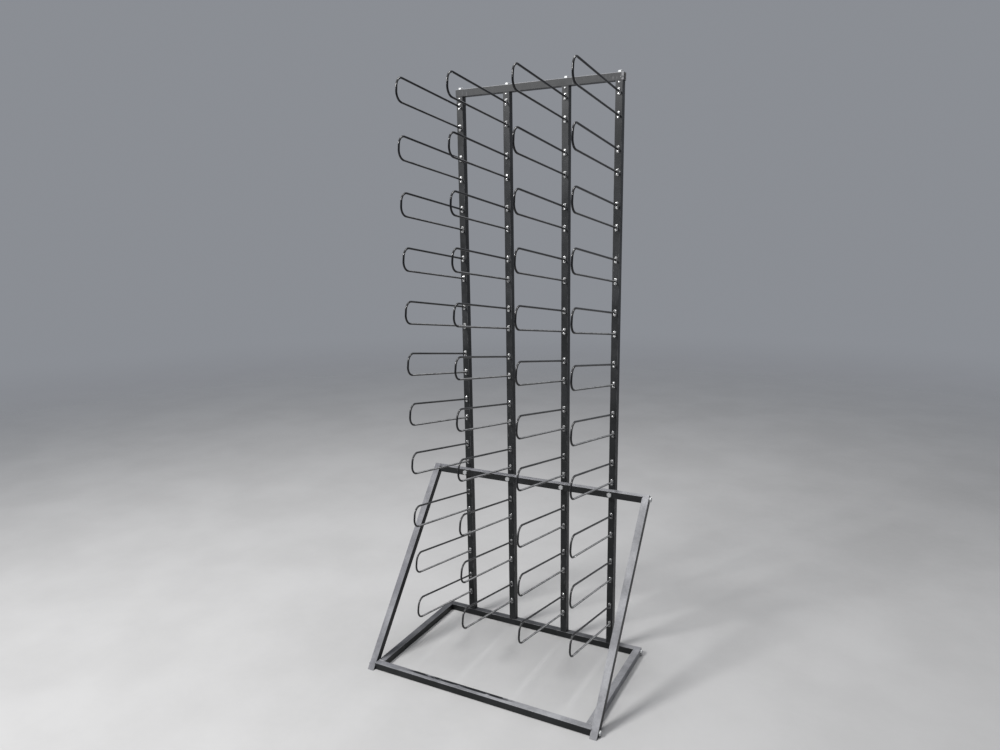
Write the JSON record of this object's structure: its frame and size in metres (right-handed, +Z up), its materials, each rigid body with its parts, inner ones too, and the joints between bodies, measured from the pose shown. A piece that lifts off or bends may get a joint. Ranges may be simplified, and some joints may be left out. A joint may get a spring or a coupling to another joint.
{
  "type": "display rack",
  "caption": "Free-standing bolted square-tube display rack with columns of upward-tilted wire hoop arms, a cross bar, sloping side struts and a floor frame.",
  "frame": {"origin": "centre of the footprint on the floor", "axes": "+Z up, +X along the row of posts, hoop arms point towards -Y"},
  "size_m": [0.9028, 0.553, 2.0664],
  "materials": {
    "black_frame_paint": "semi-gloss black paint on square steel tube, dusty and scuffed",
    "black_wire_paint": "glossy black paint on round steel wire",
    "zinc_plate": "bright zinc-plated bolts and nuts",
    "bare_steel": "plain steel, hidden inside the tubes"
  },
  "bodies": {
    "root": {"post_1": "black_frame_paint", "post_2": "black_frame_paint", "post_3": "black_frame_paint", "post_4": "black_frame_paint", "top_bar": "black_frame_paint", "cross_bar": "black_frame_paint", "front_bar": "black_frame_paint", "side_bar_left": "black_frame_paint", "side_bar_right": "black_frame_paint", "rear_bar": "black_frame_paint", "strut_left": "black_frame_paint", "strut_right": "black_frame_paint", "hoop_r01_c1": "black_wire_paint", "hoop_r01_c2": "black_wire_paint", "hoop_r01_c3": "black_wire_paint", "hoop_r01_c4": "black_wire_paint", "hoop_r02_c1": "black_wire_paint", "hoop_r02_c2": "black_wire_paint", "hoop_r02_c3": "black_wire_paint", "hoop_r02_c4": "black_wire_paint", "hoop_r03_c1": "black_wire_paint", "hoop_r03_c2": "black_wire_paint", "hoop_r03_c3": "black_wire_paint", "hoop_r03_c4": "black_wire_paint", "hoop_r04_c1": "black_wire_paint", "hoop_r04_c2": "black_wire_paint", "hoop_r04_c3": "black_wire_paint", "hoop_r04_c4": "black_wire_paint", "hoop_r05_c1": "black_wire_paint", "hoop_r05_c2": "black_wire_paint", "hoop_r05_c3": "black_wire_paint", "hoop_r05_c4": "black_wire_paint", "hoop_r06_c1": "black_wire_paint", "hoop_r06_c2": "black_wire_paint", "hoop_r06_c3": "black_wire_paint", "hoop_r06_c4": "black_wire_paint", "hoop_r07_c1": "black_wire_paint", "hoop_r07_c2": "black_wire_paint", "hoop_r07_c3": "black_wire_paint", "hoop_r07_c4": "black_wire_paint", "hoop_r08_c1": "black_wire_paint", "hoop_r08_c2": "black_wire_paint", "hoop_r08_c3": "black_wire_paint", "hoop_r08_c4": "black_wire_paint", "hoop_r09_c1": "black_wire_paint", "hoop_r09_c2": "black_wire_paint", "hoop_r09_c3": "black_wire_paint", "hoop_r09_c4": "black_wire_paint", "hoop_r10_c1": "black_wire_paint", "hoop_r10_c2": "black_wire_paint", "hoop_r10_c3": "black_wire_paint", "hoop_r10_c4": "black_wire_paint", "hoop_r11_c1": "black_wire_paint", "hoop_r11_c2": "black_wire_paint", "hoop_r11_c3": "black_wire_paint", "hoop_r11_c4": "black_wire_paint", "bolts_short": "zinc_plate", "bolts_long": "zinc_plate", "nuts": "zinc_plate", "end_plugs": "bare_steel"}
  },
  "joints": []
}
